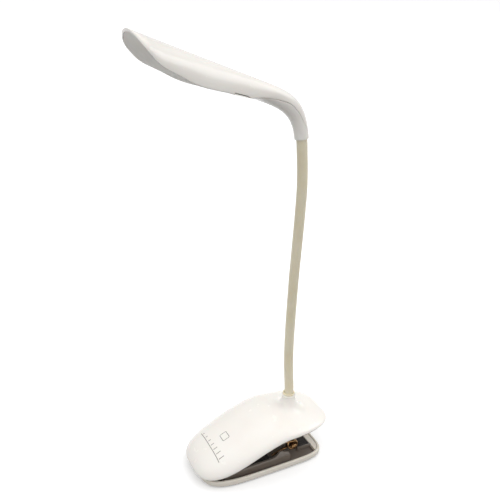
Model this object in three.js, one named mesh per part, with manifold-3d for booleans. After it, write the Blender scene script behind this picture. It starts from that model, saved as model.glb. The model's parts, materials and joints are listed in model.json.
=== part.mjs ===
// Clip-on reading lamp: a sprung two-jaw clip, a flexible gooseneck and a leaf-shaped LED head.
// Millimetres, +Z up. The origin is on the table under the middle of the lower jaw; the mouth of
// the clip and the head point to -Y.

import * as THREE from 'three';
import { mergeVertices } from 'three/addons/utils/BufferGeometryUtils.js';
import Module from 'manifold-3d';

const wasm = await Module();
wasm.setup();

// Clip: both jaws are superellipse ovals, longest along Y
const LOWER = { halfWidth: 28.9, halfLength: 54.4, power: 4, tailLength: 50.4, tailPower: 6 };
const UPPER = { halfWidth: 31.1, halfLength: 58.3, power: 3.4 };
const GAP = 0.3; // clearance between neighbouring pieces

const SOLE_THICK = 0.8;
const TRAY_BOTTOM = SOLE_THICK + GAP;
const TRAY_FLOOR = 3;
const TRAY_RIM = 6.2;
const TRAY_DECK = 5; // the deck at the tip that carries the pad
const TRAY_TAIL = 43.3; // the tail is solid from here back
const MAT_THICK = 1;

const SHELL_WALL = 1.8;
const LID_LOW = 1.5; // the lid lies this far under the shell's rim
const RIM_FRONT = 7.65; // height of the upper shell's rim at the tip
const RIM_REAR = 31;
const RIM_RUN = 0.62; // share of the length over which the rim climbs
const CROWN_FRONT = 14.9; // height of the dome over its rim
const CROWN_REAR = 4.9;
const CROWN_POWER = 2.36;

const PIVOT = new THREE.Vector3(0, 24.2, 13.2);
const PIN_RADIUS = 1.5;
const PIN_HALF = 21.2;
const EAR_RADIUS = 4.2;
const COIL_RADIUS = 4.1; // to the middle of the wire
const WIRE_RADIUS = 0.8;
const COIL_TURNS = 3;
const COIL_FROM = 14.4;
const COIL_PITCH = 1.75;
const CLIP_RADIUS = 2.4;

const PAN = { halfWidth: 22, halfLength: 46, power: 4, midY: 2 };
const PAN_WALL = 1.6;
const PAN_REAR_FLOOR = 26.3;
const PAN_SLOPE = 0.24;

// Works inside the upper jaw
const BOARD_Z = PAN_REAR_FLOOR + PAN_WALL + 0.4;
const SOCKET_Z = BOARD_Z + 2.7;
const SCREW_X = 17;
const SCREW_Y = 20;

// Gooseneck
const NECK_Y = 28.8;
const BOSS_TOP = 50.4;
const BOSS_RADIUS = 5.4;
const BOSS_BORE = 3;
const SLEEVE_RADIUS = 3.75;
const SLEEVE_BORE = 2.85;
const HOSE_RADIUS = 2.5;
const NECK_PIECES = 8; // between the stub on the clip and the stub on the head
const BEND_GAP = 2.2; // room at each bending joint
const FIRST_JOINT = new THREE.Vector3(0, NECK_Y, 57);
const HEAD_X = 12; // how far the neck has been bent to the side
const LAST_JOINT = new THREE.Vector3(HEAD_X, 20.8, 258.4);
const COLLAR = new THREE.Vector3(HEAD_X, 19.9, 264.6);

// Head, measured along its straight ridge from the bend to the tip
const RIDGE_START = { y: -11.3, z: 302.6 };
const RIDGE_TILT = THREE.MathUtils.degToRad(18.9);
const HEAD_LENGTH = 89.95;
const HEAD_HALF = 22.4;
const HEAD_WIDEST = 79.4;
const HEAD_WALL = 1.6;
const NECK_WALL = 1.3;
const LENS_START = 20.8;
const LENS_THICK = 1.6;
const BOARD_DEPTH = 8; // below the ridge
const BOARD = { from: 28, to: 74, halfWidth: 8.5, thick: 1.2 };
const LED_PAIRS = 5;
const LED_SIZE = { x: 3.5, y: 2.8, z: 0.8 };

const shellPlastic = new THREE.MeshStandardMaterial({ color: 0xf8f6f0, roughness: 0.22 });
const sleevePlastic = new THREE.MeshStandardMaterial({ color: 0xd9cfb4, roughness: 0.55 });
const darkRubber = new THREE.MeshStandardMaterial({ color: 0x2c2a28, roughness: 0.8 });
const lensPlastic = new THREE.MeshStandardMaterial({ color: 0xeceae4, roughness: 0.45 });
const springSteel = new THREE.MeshStandardMaterial({ color: 0x6e5a43, roughness: 0.3, metalness: 1 });
const plainSteel = new THREE.MeshStandardMaterial({ color: 0xb9bbbd, roughness: 0.35, metalness: 1 });
const brass = new THREE.MeshStandardMaterial({ color: 0xb8925a, roughness: 0.4, metalness: 1 });
const boardResin = new THREE.MeshStandardMaterial({ color: 0x2f6b46, roughness: 0.6 });
const foil = new THREE.MeshStandardMaterial({ color: 0xb4b8bd, roughness: 0.4, metalness: 0.7 });
const ledResin = new THREE.MeshStandardMaterial({ color: 0xf3e6a8, roughness: 0.4 });

const lamp = new THREE.Group();

function addPiece(name, geometry, material) {
  const mesh = new THREE.Mesh(geometry, material);
  mesh.name = name;
  lamp.add(mesh);
  return mesh;
}

// A closed geometry as a solid, and back again
function solid(geometry) {
  const bare = geometry.clone();
  for (const extra of ['normal', 'uv']) bare.deleteAttribute(extra);
  const merged = mergeVertices(bare, 1e-5);
  const vertProperties = new Float32Array(merged.attributes.position.array);
  const triVerts = new Uint32Array(merged.index.array);
  return new wasm.Manifold(new wasm.Mesh({ numProp: 3, vertProperties, triVerts }));
}

function geometryOf(manifold) {
  const mesh = manifold.getMesh();
  const geometry = new THREE.BufferGeometry();
  geometry.setAttribute('position', new THREE.BufferAttribute(mesh.vertProperties, 3));
  geometry.setIndex(new THREE.BufferAttribute(mesh.triVerts, 1));
  return geometry;
}

// A closed body through rings of points, each end closed to its middle
function loft(rings) {
  const count = rings[0].length;
  const points = rings.flat();
  const faces = [];
  for (let r = 0; r < rings.length - 1; r++) {
    for (let i = 0; i < count; i++) {
      const a = r * count + i;
      const b = r * count + ((i + 1) % count);
      faces.push(a, b, b + count, a, b + count, a + count);
    }
  }
  const last = (rings.length - 1) * count;
  points.push(middle(rings[0]), middle(rings[rings.length - 1]));
  for (let i = 0; i < count; i++) {
    const next = (i + 1) % count;
    faces.push(points.length - 2, next, i);
    faces.push(points.length - 1, last + i, last + next);
  }
  const geometry = new THREE.BufferGeometry().setFromPoints(points);
  geometry.setIndex(faces);
  return geometry;
}

function middle(ring) {
  const sum = new THREE.Vector3();
  for (const point of ring) sum.add(point);
  return sum.divideScalar(ring.length);
}

// Signed power, which squares off an ellipse
function squared(value, power) {
  return Math.sign(value) * Math.abs(value) ** (2 / power);
}

// Evenly spaced points round a superellipse
function ovalPoints(oval, inset, count = 44) {
  const points = [];
  const fine = 160;
  for (let i = 0; i <= fine; i++) {
    const angle = (2 * Math.PI * i) / fine;
    const tail = angle < Math.PI && oval.tailLength;
    const power = tail ? oval.tailPower : oval.power;
    const x = (oval.halfWidth - inset) * squared(Math.cos(angle), power);
    const y = ((tail ? oval.tailLength : oval.halfLength) - inset) * squared(Math.sin(angle), power);
    points.push(new THREE.Vector2(x, y + (oval.midY ?? 0)));
  }
  return new THREE.SplineCurve(points).getSpacedPoints(count).slice(1);
}

// An upright prism on an oval plan
function ovalPrism(oval, inset, low, high) {
  const shape = new THREE.Shape(ovalPoints(oval, inset));
  const geometry = new THREE.ExtrudeGeometry(shape, { depth: high - low, bevelEnabled: false, steps: 1 });
  return geometry.translate(0, 0, low);
}

// A plate standing in the YZ plane, from one X to another
function sidePlate(outline, fromX, toX, hole) {
  const shape = new THREE.Shape(outline.map(([y, z]) => new THREE.Vector2(y, z)));
  if (hole) {
    const path = new THREE.Path().absarc(PIVOT.y, PIVOT.z, hole, 0, 2 * Math.PI, true);
    shape.holes.push(path);
  }
  const options = { depth: toX - fromX, bevelEnabled: false, steps: 1, curveSegments: 10 };
  const geometry = new THREE.ExtrudeGeometry(shape, options);
  // the shape's x becomes Y, its y becomes Z and its depth becomes X
  const basis = new THREE.Matrix4().set(0, 0, 1, fromX, 1, 0, 0, 0, 0, 1, 0, 0, 0, 0, 0, 1);
  return geometry.applyMatrix4(basis);
}

// A band between two heights that follows a line along Y
function band(lowAt, highAt, fromY, toY, steps = 40) {
  const low = [];
  const high = [];
  for (let i = 0; i <= steps; i++) {
    const y = fromY + ((toY - fromY) * i) / steps;
    low.push([y, lowAt(y)]);
    high.unshift([y, highAt(y)]);
  }
  return sidePlate([...low, ...high], -40, 40);
}

function box(x, y, z, at) {
  return new THREE.BoxGeometry(x, y, z).translate(at.x, at.y, at.z);
}

function rod(radius, from, to, sides = 16, bore = 0) {
  const shape = new THREE.Shape();
  shape.absarc(0, 0, radius, 0, 2 * Math.PI, false);
  if (bore) shape.holes.push(new THREE.Path().absarc(0, 0, bore, 0, 2 * Math.PI, true));
  const depth = from.distanceTo(to);
  const options = { depth, bevelEnabled: false, steps: 1, curveSegments: sides / 2 };
  const geometry = new THREE.ExtrudeGeometry(shape, options);
  const turn = new THREE.Quaternion();
  turn.setFromUnitVectors(new THREE.Vector3(0, 0, 1), to.clone().sub(from).normalize());
  return geometry.applyQuaternion(turn).translate(from.x, from.y, from.z);
}

function upright(radius, low, high, x, y, sides = 16, bore = 0) {
  return rod(radius, new THREE.Vector3(x, y, low), new THREE.Vector3(x, y, high), sides, bore);
}

// Lower jaw

function smooth(value) {
  const t = THREE.MathUtils.clamp(value, 0, 1);
  return t * t * (3 - 2 * t);
}

function trayRing(inset, height) {
  return ovalPoints(LOWER, inset).map((p) => new THREE.Vector3(p.x, p.y, height));
}

function lowerTray() {
  const rings = [
    trayRing(1.4, TRAY_BOTTOM),
    trayRing(0.3, TRAY_BOTTOM + 0.9),
    trayRing(0, TRAY_BOTTOM + 2.6),
    trayRing(0.1, TRAY_RIM - 0.9),
    trayRing(0.8, TRAY_RIM),
    trayRing(2, TRAY_RIM - 0.2),
    trayRing(2.8, TRAY_FLOOR),
  ];
  return loft(rings);
}

// The wall set in from the rim, with the lug that keeps the upper jaw in line
const wallOutline = [
  [-39, TRAY_FLOOR - 0.5], [19.5, TRAY_FLOOR - 0.5], [19.5, 8.6], [17.4, 12.4], [13.6, 13.3],
  [11.6, 14.7], [9.4, 14.7], [8.1, 12.8], [5.5, 10.2], [-8, 10], [-20, 9.8], [-30, 9.2], [-39, 7.5],
];

function earOutline(baseFrom, baseTo, baseZ, side) {
  const points = [[baseFrom, baseZ]];
  for (let i = 0; i <= 8; i++) {
    const angle = Math.PI * (i / 8) * side;
    points.push([PIVOT.y - EAR_RADIUS * Math.cos(angle), PIVOT.z + EAR_RADIUS * Math.sin(angle)]);
  }
  points.push([baseTo, baseZ]);
  return side > 0 ? points.reverse() : points;
}

function lowerJaw() {
  let jaw = solid(lowerTray());
  for (const side of [-1, 1]) {
    const wall = side > 0 ? [21.6, 23.4] : [-23.4, -21.6];
    const ear = side > 0 ? [11, 13] : [-13, -11];
    jaw = jaw.add(solid(sidePlate(wallOutline, ...wall)));
    const outline = earOutline(PIVOT.y - 8, PIVOT.y + 8, TRAY_FLOOR - 0.5, 1);
    jaw = jaw.add(solid(sidePlate(outline, ...ear, PIN_RADIUS + 0.25)));
    // a rib from behind the ear to the tail
    jaw = jaw.add(solid(box(1.6, 13.4, 3.4, new THREE.Vector3(side * 16, 37, TRAY_FLOOR + 1.5))));
  }
  const deck = ovalPrism(LOWER, 2.6, TRAY_FLOOR - 0.5, TRAY_DECK);
  const frontOnly = box(60, 16, 12, new THREE.Vector3(0, -47, 5));
  jaw = jaw.add(solid(deck).intersect(solid(frontOnly)));
  const tail = ovalPrism(LOWER, 1.8, TRAY_FLOOR - 0.5, TRAY_RIM - 0.8);
  const tailOnly = box(60, 20, 12, new THREE.Vector3(0, TRAY_TAIL + 10, 5));
  jaw = jaw.add(solid(tail).intersect(solid(tailOnly)));
  return geometryOf(jaw);
}

// Upper jaw

function rimZ(y) {
  const t = (y + UPPER.halfLength) / (2 * UPPER.halfLength);
  const k = THREE.MathUtils.clamp(t / RIM_RUN, 0, 1);
  return RIM_FRONT + (RIM_REAR - RIM_FRONT) * (0.35 * k + 0.65 * smooth(k));
}

function domeRing(share, inset) {
  return ovalPoints(UPPER, inset).map((p) => {
    const y = p.y * share;
    const t = (y + UPPER.halfLength) / (2 * UPPER.halfLength);
    const height = THREE.MathUtils.lerp(CROWN_FRONT, CROWN_REAR, t) - inset;
    const z = rimZ(y) + height * Math.sqrt(Math.max(0, 1 - share ** CROWN_POWER));
    return new THREE.Vector3(p.x * share, y, z);
  });
}

function domeLoft(inset) {
  const shares = [1, 0.99, 0.96, 0.9, 0.8, 0.66, 0.5, 0.32, 0.14];
  return shares.map((share) => domeRing(share, inset));
}

function upperShell() {
  const outer = domeLoft(0).reverse();
  const inner = domeLoft(SHELL_WALL);
  // the loft runs from the crown's outside, round the rim, to the crown's inside
  const dome = loft([...outer, ...inner].reverse());
  const profile = [
    [0, 35.2], [8, 35.2], [14.6, 37.2], [14.8, 37.9], [11.4, 38.8], [8.8, 40.4], [7.1, 42.8],
    [6.1, 45.4], [BOSS_RADIUS, 47.4], [BOSS_RADIUS, BOSS_TOP], [0, BOSS_TOP],
  ].map(([r, z]) => new THREE.Vector2(r, z));
  // a lathe turns about Y, so it is stood up along Z
  const boss = new THREE.LatheGeometry(profile, 28).rotateX(Math.PI / 2).translate(0, NECK_Y, 0);
  let shell = solid(dome).add(solid(boss));
  for (const side of [-1, 1]) {
    shell = shell.add(solid(upright(2.8, 28.4, 36, side * SCREW_X, SCREW_Y)));
    shell = shell.subtract(solid(upright(1.3, 26, 34.6, side * SCREW_X, SCREW_Y)));
  }
  shell = shell.subtract(solid(upright(BOSS_BORE, 30, 60, 0, NECK_Y, 20)));
  return geometryOf(shell);
}

function panFloorZ(y) {
  return Math.min(PAN_SLOPE * y + 21.66, PAN_REAR_FLOOR, rimZ(y) - LID_LOW);
}

// The lid that closes the shell from below, with a pan for the works and two pivot ears
function upperCover() {
  const over = (height) => (y) => rimZ(y) + height;
  const lid = solid(ovalPrism(UPPER, 1, 0, 50)).intersect(solid(band(over(-LID_LOW), over(-GAP), -60, 60)));
  const pan = solid(ovalPrism(PAN, 0, 0, 50)).intersect(solid(band(panFloorZ, over(-GAP), -46, 50)));
  const roomBand = solid(band((y) => panFloorZ(y) + PAN_WALL, over(9), -46, 50));
  const room = solid(ovalPrism(PAN, PAN_WALL, 0, 50)).intersect(roomBand);
  let cover = lid.add(pan).subtract(room);
  for (const side of [-1, 1]) {
    const ear = side > 0 ? [8.4, 10.4] : [-10.4, -8.4];
    const outline = earOutline(PIVOT.y - 9, PIVOT.y + 9, PAN_REAR_FLOOR + 0.4, -1);
    cover = cover.add(solid(sidePlate(outline, ...ear, PIN_RADIUS + 0.25)));
    cover = cover.subtract(solid(upright(1.6, 24, 28.1, side * SCREW_X, SCREW_Y)));
  }
  const socketWindow = box(8.3, 6, 3.4, new THREE.Vector3(0, 48, SOCKET_Z));
  return geometryOf(cover.subtract(solid(socketWindow)));
}

// One wire: a leg along the lower jaw, the coil round the pin, and a leg under the upper jaw
function torsionSpring(side) {
  const points = [];
  const turn = 2 * Math.PI;
  const stepsPerTurn = 16;
  const start = -0.5 * Math.PI;
  const end = start + turn * COIL_TURNS - Math.PI;
  const place = (angle) => {
    const along = COIL_FROM + (COIL_PITCH * (angle - start)) / turn;
    const y = PIVOT.y + COIL_RADIUS * Math.cos(angle);
    const z = PIVOT.z + COIL_RADIUS * Math.sin(angle);
    return new THREE.Vector3(side * along, y, z);
  };
  const steps = Math.round(((end - start) / turn) * stepsPerTurn);
  points.push(new THREE.Vector3(side * (COIL_FROM - 0.1), PIVOT.y - 17, TRAY_FLOOR + 1.9));
  points.push(new THREE.Vector3(side * (COIL_FROM - 0.1), PIVOT.y - 8, TRAY_FLOOR + 4.9));
  for (let i = 0; i <= steps; i++) points.push(place(start + ((end - start) * i) / steps));
  const last = place(end);
  points.push(new THREE.Vector3(last.x, PIVOT.y - 8, last.z + 1.4));
  points.push(new THREE.Vector3(last.x, PIVOT.y - 15, last.z + 3.2));
  const path = new THREE.CatmullRomCurve3(points, false, 'centripetal');
  const section = new THREE.Shape().absarc(0, 0, WIRE_RADIUS, 0, turn, false);
  const options = { extrudePath: path, steps: 72, curveSegments: 3, bevelEnabled: false };
  return new THREE.ExtrudeGeometry(section, options);
}

function addClip() {
  addPiece('base_sole', ovalPrism(LOWER, 1.7, 0, SOLE_THICK), darkRubber);
  addPiece('lower_jaw', lowerJaw(), shellPlastic);
  const padFront = box(60, 11, 20, new THREE.Vector3(0, -46.5, 8));
  const lowerPad = solid(ovalPrism(LOWER, 3.2, TRAY_DECK + GAP, 6.6)).intersect(solid(padFront));
  addPiece('lower_jaw_pad', geometryOf(lowerPad), darkRubber);
  const matZ = TRAY_FLOOR + GAP + MAT_THICK / 2;
  addPiece('tray_mat_front', box(40, 42.4, MAT_THICK, new THREE.Vector3(0, -16.6, matZ)), darkRubber);
  addPiece('tray_mat_rear', box(29.4, 10.8, MAT_THICK, new THREE.Vector3(0, 37.5, matZ)), darkRubber);

  addPiece('upper_shell', upperShell(), shellPlastic);
  addPiece('upper_cover', upperCover(), shellPlastic);
  const padBand = solid(band(() => 6.9, (y) => rimZ(y) - LID_LOW - GAP, -50.5, -40, 6));
  const upperPad = solid(ovalPrism(UPPER, 5.5, 0, 30)).intersect(padBand);
  addPiece('upper_jaw_pad', geometryOf(upperPad), darkRubber);

  const pinFrom = new THREE.Vector3(-PIN_HALF, PIVOT.y, PIVOT.z);
  const pinTo = new THREE.Vector3(PIN_HALF, PIVOT.y, PIVOT.z);
  addPiece('pivot_pin', rod(PIN_RADIUS, pinFrom, pinTo, 14), springSteel);
  for (const [name, side] of [['near', 1], ['far', -1]]) {
    const inner = new THREE.Vector3(side * (PIN_HALF - 0.9), PIVOT.y, PIVOT.z);
    const outer = new THREE.Vector3(side * (PIN_HALF - 0.1), PIVOT.y, PIVOT.z);
    addPiece(`pin_clip_${name}`, rod(CLIP_RADIUS, inner, outer, 14, PIN_RADIUS + 0.15), springSteel);
    addPiece(`torsion_spring_${name}`, torsionSpring(side), springSteel);
  }
}

// The works inside the upper jaw
function addWorks() {
  const tilt = Math.atan(PAN_SLOPE);
  const battery = new THREE.BoxGeometry(36, 32, 6.2).rotateX(tilt).translate(0, 0, 26.9);
  addPiece('battery_cell', battery, foil);
  addPiece('control_board', box(26, 17, 1.2, new THREE.Vector3(0, 35, BOARD_Z + 0.6)), boardResin);
  addPiece('usb_socket', box(7.5, 5, 2.6, new THREE.Vector3(0, 43, SOCKET_Z)), plainSteel);
  const electrode = upright(5, 0, 0.4, 0, 0, 16).rotateX(Math.atan(0.5)).translate(0, -28.6, 23.4);
  addPiece('touch_electrode', electrode, brass);
  for (const [name, side] of [['near', 1], ['far', -1]]) {
    const shank = solid(upright(1.05, 26.6, 33.6, side * SCREW_X, SCREW_Y));
    const head = solid(upright(2.6, 24.6, 25.9, side * SCREW_X, SCREW_Y));
    const joined = shank.add(head).add(solid(upright(1.05, 25.5, 27, side * SCREW_X, SCREW_Y)));
    addPiece(`cover_screw_${name}`, geometryOf(joined), plainSteel);
  }
}

// Gooseneck

// The neck's line at rest, a little forward and to one side
const neckLine = new THREE.CatmullRomCurve3([
  FIRST_JOINT,
  new THREE.Vector3(1.2, 26, 88),
  new THREE.Vector3(5.6, 23.9, 152),
  new THREE.Vector3(10.3, 23.3, 212),
  new THREE.Vector3(11.9, 22.4, 244),
  LAST_JOINT,
]);

function addNeck() {
  const joints = neckLine.getSpacedPoints(NECK_PIECES);
  const half = BEND_GAP / 2;
  const stubTop = FIRST_JOINT.clone();
  stubTop.z -= half;
  const seat = new THREE.Vector3(0, NECK_Y, BOSS_TOP + GAP);
  const root = new THREE.Vector3(0, NECK_Y, 31.4);
  const pieces = [];
  for (let i = 0; i < NECK_PIECES; i++) {
    const along = joints[i + 1].clone().sub(joints[i]).setLength(half);
    const from = joints[i].clone().add(along);
    const to = joints[i + 1].clone().sub(along);
    pieces.push([`${i + 1}`, from, to, from, to]);
  }
  const into = COLLAR.clone().sub(LAST_JOINT).normalize();
  const tipFrom = LAST_JOINT.clone().addScaledVector(into, half);
  const collarFace = COLLAR.clone().addScaledVector(into, -GAP);
  const hoseEnd = COLLAR.clone().addScaledVector(into, 6);
  pieces.unshift(['root', seat, stubTop, root, stubTop]);
  pieces.push(['tip', tipFrom, collarFace, tipFrom, hoseEnd]);
  for (const [name, sleeveFrom, sleeveTo, hoseFrom, hoseTo] of pieces) {
    const sleeve = rod(SLEEVE_RADIUS, sleeveFrom, sleeveTo, 16, SLEEVE_BORE);
    addPiece(`gooseneck_sleeve_${name}`, sleeve, sleevePlastic);
    addPiece(`gooseneck_hose_${name}`, rod(HOSE_RADIUS, hoseFrom, hoseTo, 12), plainSteel);
  }
  const ring = upright(5, BOSS_TOP + GAP, BOSS_TOP + GAP + 1.2, 0, NECK_Y, 20, SLEEVE_RADIUS + 0.3);
  addPiece('neck_seal_ring', ring, sleevePlastic);
  addPiece('neck_nut', upright(4.9, 32, 34.9, 0, NECK_Y, 6, HOSE_RADIUS + 0.6), brass);
  const ferruleFrom = COLLAR.clone().addScaledVector(into, 0.8);
  const ferruleTo = COLLAR.clone().addScaledVector(into, 4.2);
  addPiece('head_ferrule', rod(3.25, ferruleFrom, ferruleTo, 16, HOSE_RADIUS + 0.2), brass);
}

// Head

// Y and Z of a point at a distance along the ridge and a depth under it
function underRidge(along, depth) {
  const y = RIDGE_START.y - along * Math.cos(RIDGE_TILT) - depth * Math.sin(RIDGE_TILT);
  const z = RIDGE_START.z + along * Math.sin(RIDGE_TILT) - depth * Math.cos(RIDGE_TILT);
  return { y, z };
}

// Half width of the head's leaf plan up to its widest place
const planCurve = new THREE.SplineCurve([
  new THREE.Vector2(0, 8), new THREE.Vector2(10, 9.7), new THREE.Vector2(20, 11.6),
  new THREE.Vector2(30, 13.4), new THREE.Vector2(40, 15.1), new THREE.Vector2(50, 17.1),
  new THREE.Vector2(60, 19.4), new THREE.Vector2(70, 21.4), new THREE.Vector2(HEAD_WIDEST, HEAD_HALF),
]);
const planSamples = planCurve.getSpacedPoints(80);

function headHalfWidth(along) {
  if (along < HEAD_WIDEST) return readCurve(planSamples, along);
  const share = Math.min(1, (along - HEAD_WIDEST) / (HEAD_LENGTH - HEAD_WIDEST));
  return HEAD_HALF * Math.sqrt(1 - share ** 2);
}

// Depth of the head's rim under its ridge: nearly level, then up to the tip
const rimCurve = new THREE.SplineCurve([
  new THREE.Vector2(0, 12.2), new THREE.Vector2(20, 14.2), new THREE.Vector2(44, 16.6),
  new THREE.Vector2(60, 15), new THREE.Vector2(71, 13.45), new THREE.Vector2(79, 9.8),
  new THREE.Vector2(85, 5.5), new THREE.Vector2(HEAD_LENGTH, 0.3),
]);
const rimSamples = rimCurve.getSpacedPoints(80);

function rimDepth(along) {
  return readCurve(rimSamples, along);
}

// The height of a sampled curve at a distance along it
function readCurve(samples, along) {
  const next = samples.findIndex((p) => p.x >= along);
  if (next < 0) return samples[samples.length - 1].y;
  if (next === 0) return samples[0].y;
  const a = samples[next - 1];
  const b = samples[next];
  return THREE.MathUtils.lerp(a.y, b.y, (along - a.x) / (b.x - a.x));
}

// A cross-section: its middle, its up direction, and how far it reaches up, down and sideways
function section(mid, up, half, top, bottom, squareness = 2) {
  const points = [];
  const count = 24;
  for (let i = 0; i < count; i++) {
    const angle = (2 * Math.PI * i) / count;
    const low = Math.sin(angle) < 0;
    const power = low ? squareness : 2;
    const x = half * squared(Math.cos(angle), power);
    const rise = (low ? bottom : top) * squared(Math.sin(angle), power);
    points.push(new THREE.Vector3(HEAD_X + x, mid.y + up.y * rise, mid.z + up.z * rise));
  }
  return points;
}

const ridgeUp = { y: Math.sin(RIDGE_TILT), z: Math.cos(RIDGE_TILT) };

// The bend between the collar and the head's straight ridge
const bendStart = new THREE.Vector3(0, COLLAR.y, COLLAR.z);
const bendEndPoint = underRidge(0, 6.1);
const bendEnd = new THREE.Vector3(0, bendEndPoint.y, bendEndPoint.z);
const bend = new THREE.CubicBezierCurve3(
  bendStart,
  new THREE.Vector3(0, COLLAR.y - 22.5 * 0.145, COLLAR.z + 22.5 * 0.989),
  bendEnd.clone().add(new THREE.Vector3(0, 20.4 * ridgeUp.z, -20.4 * ridgeUp.y)),
  bendEnd,
);

function bendSection(t, wall) {
  const mid = bend.getPoint(t);
  const along = bend.getTangent(Math.max(t, 0));
  const up = { y: along.z, z: -along.y };
  const radius = THREE.MathUtils.lerp(4.9, 5.95, smooth(t / 0.45));
  const half = THREE.MathUtils.lerp(radius, 7.6, smooth((t - 0.45) / 0.75));
  return section(mid, up, half - wall, radius - wall, radius - wall);
}

function leafSection(along, wall) {
  const depth = rimDepth(along);
  const belly = 6.1 * (1 - smooth((along + 14) / 26));
  const mid = underRidge(along, depth - belly);
  const half = headHalfWidth(along) - wall;
  return section(mid, ridgeUp, half, depth - belly - wall, belly - wall * (belly > wall ? 1 : 0));
}

const bendSteps = [0, 0.12, 0.25, 0.38, 0.52, 0.66, 0.8, 0.92];
const leafSteps = [4, 12, 22, 32, 42, 52, 61, 68, 74, 79.4, 83, 86, 88, 89.3, HEAD_LENGTH];

function headOutside() {
  const rings = bendSteps.map((t) => bendSection(t, 0));
  for (const along of leafSteps) rings.push(leafSection(along, 0));
  return solid(loft(rings));
}

// The passage from the collar to the lens room
function neckPassage() {
  const rings = [-0.06, ...bendSteps.slice(1)].map((t) => bendSection(t, NECK_WALL));
  for (const along of [6, 14, LENS_START + 1]) {
    const mid = underRidge(along, rimDepth(along) * 0.5);
    rings.push(section(mid, ridgeUp, headHalfWidth(along) - 4, rimDepth(along) * 0.5 - 2, 4));
  }
  return solid(loft(rings));
}

// The room over the lens, open downwards
function lensRoom() {
  const rings = [];
  for (const along of [LENS_START, 32, 42, 52, 61, 68, 74, 79.4, 83, 86]) {
    const depth = rimDepth(along);
    const half = headHalfWidth(along) - HEAD_WALL;
    rings.push(section(underRidge(along, depth), ridgeUp, half, Math.max(0.6, depth - HEAD_WALL), 5, 9));
  }
  return solid(loft(rings));
}

// Everything over the seam between the two covers
function seamBlock(shift) {
  const line = [];
  for (const along of [97, HEAD_LENGTH, 85, 79, 70, 60, 50, 40, 30, 20, 12]) {
    const at = underRidge(along, rimDepth(along) - 0.2 - shift);
    line.push([at.y, at.z]);
  }
  for (const [y, z] of [[-6.9, 292], [-0.3, 290.8], [6.1, 288.7], [10.3, 285.9], [14.6, 281.4],
    [18.4, 275.8], [21.6, 270.6], [26, 264]]) {
    line.push([y + 0.3 * shift, z + shift]);
  }
  line.push([60, 264], [60, 360], [-130, 360]);
  return solid(sidePlate(line, -40, 60));
}

function addHead() {
  const outside = headOutside();
  const hollow = outside.subtract(neckPassage());
  const room = lensRoom();
  const top = hollow.subtract(room).intersect(seamBlock(0.15));
  const screws = [BOARD.from + 3.5, BOARD.to - 3.5];
  const screwRods = screws.map((along) => {
    const at = (depth) => {
      const p = underRidge(along, depth);
      return new THREE.Vector3(HEAD_X, p.y, p.z);
    };
    return { boss: rod(2.2, at(BOARD_DEPTH - GAP), at(0.9), 12), at };
  });
  let cover = top;
  for (const { boss, at } of screwRods) {
    cover = cover.add(solid(boss)).subtract(solid(rod(1.1, at(BOARD_DEPTH + 1), at(3), 12)));
  }
  addPiece('head_top_cover', geometryOf(cover), shellPlastic);

  // the lower cover ends where the lens begins
  const lensEnd = box(60, 200, 200, new THREE.Vector3(0, 0, 0));
  placeUnderRidge(lensEnd, LENS_START - GAP + 100, 0, 0);
  const under = hollow.subtract(seamBlock(-0.15)).subtract(solid(lensEnd));
  addPiece('head_bottom_cover', geometryOf(under), shellPlastic);

  const lensRings = [];
  for (const along of [LENS_START + GAP, 32, 42, 52, 61, 68, 74, 79.4, 83, 85.6]) {
    const half = headHalfWidth(along) - HEAD_WALL - GAP;
    const mid = underRidge(along, rimDepth(along) - 0.1);
    lensRings.push(section(mid, ridgeUp, half, LENS_THICK, 0.001, 2));
  }
  addPiece('lens_diffuser', loft(lensRings), lensPlastic);

  const boardShape = new THREE.Shape();
  const boardHalf = (BOARD.to - BOARD.from) / 2;
  const corner = 4;
  boardShape.moveTo(-BOARD.halfWidth, -boardHalf + corner);
  boardShape.absarc(-BOARD.halfWidth + corner, -boardHalf + corner, corner, Math.PI, 1.5 * Math.PI);
  boardShape.absarc(BOARD.halfWidth - corner, -boardHalf + corner, corner, 1.5 * Math.PI, 2 * Math.PI);
  boardShape.absarc(BOARD.halfWidth - corner, boardHalf - corner, corner, 0, 0.5 * Math.PI);
  boardShape.absarc(-BOARD.halfWidth + corner, boardHalf - corner, corner, 0.5 * Math.PI, Math.PI);
  for (const place of [-boardHalf + 3.5, boardHalf - 3.5]) {
    boardShape.holes.push(new THREE.Path().absarc(0, place, 1.3, 0, 2 * Math.PI, true));
  }
  const boardOptions = { depth: BOARD.thick, bevelEnabled: false, steps: 1, curveSegments: 5 };
  const boardGeometry = new THREE.ExtrudeGeometry(boardShape, boardOptions);
  placeUnderRidge(boardGeometry, (BOARD.from + BOARD.to) / 2, BOARD_DEPTH + BOARD.thick, 0);
  addPiece('led_board', boardGeometry, boardResin);

  const ledDepth = BOARD_DEPTH + BOARD.thick + GAP + LED_SIZE.z / 2;
  for (let i = 0; i < LED_PAIRS; i++) {
    for (const [name, side] of [['near', 1], ['far', -1]]) {
      const led = new THREE.BoxGeometry(LED_SIZE.x, LED_SIZE.y, LED_SIZE.z);
      placeUnderRidge(led, 36 + i * 7.5, ledDepth, side * 4.8);
      addPiece(`led_${name}_${i + 1}`, led, ledResin);
    }
  }
  screwRods.forEach(({ at }, i) => {
    const shank = solid(rod(0.85, at(BOARD_DEPTH + 2.2), at(3.6), 10));
    const head = solid(rod(1.9, at(BOARD_DEPTH + 2.6), at(BOARD_DEPTH + 1.5), 12));
    addPiece(`board_screw_${i + 1}`, geometryOf(shank.add(head)), plainSteel);
  });
}

// Moves a geometry made flat about the origin to its place under the ridge
function placeUnderRidge(geometry, along, depth, x) {
  const at = underRidge(along, depth);
  geometry.rotateX(-RIDGE_TILT).translate(HEAD_X + x, at.y, at.z);
}

addClip();
addWorks();
addNeck();
addHead();

export default lamp;
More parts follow.
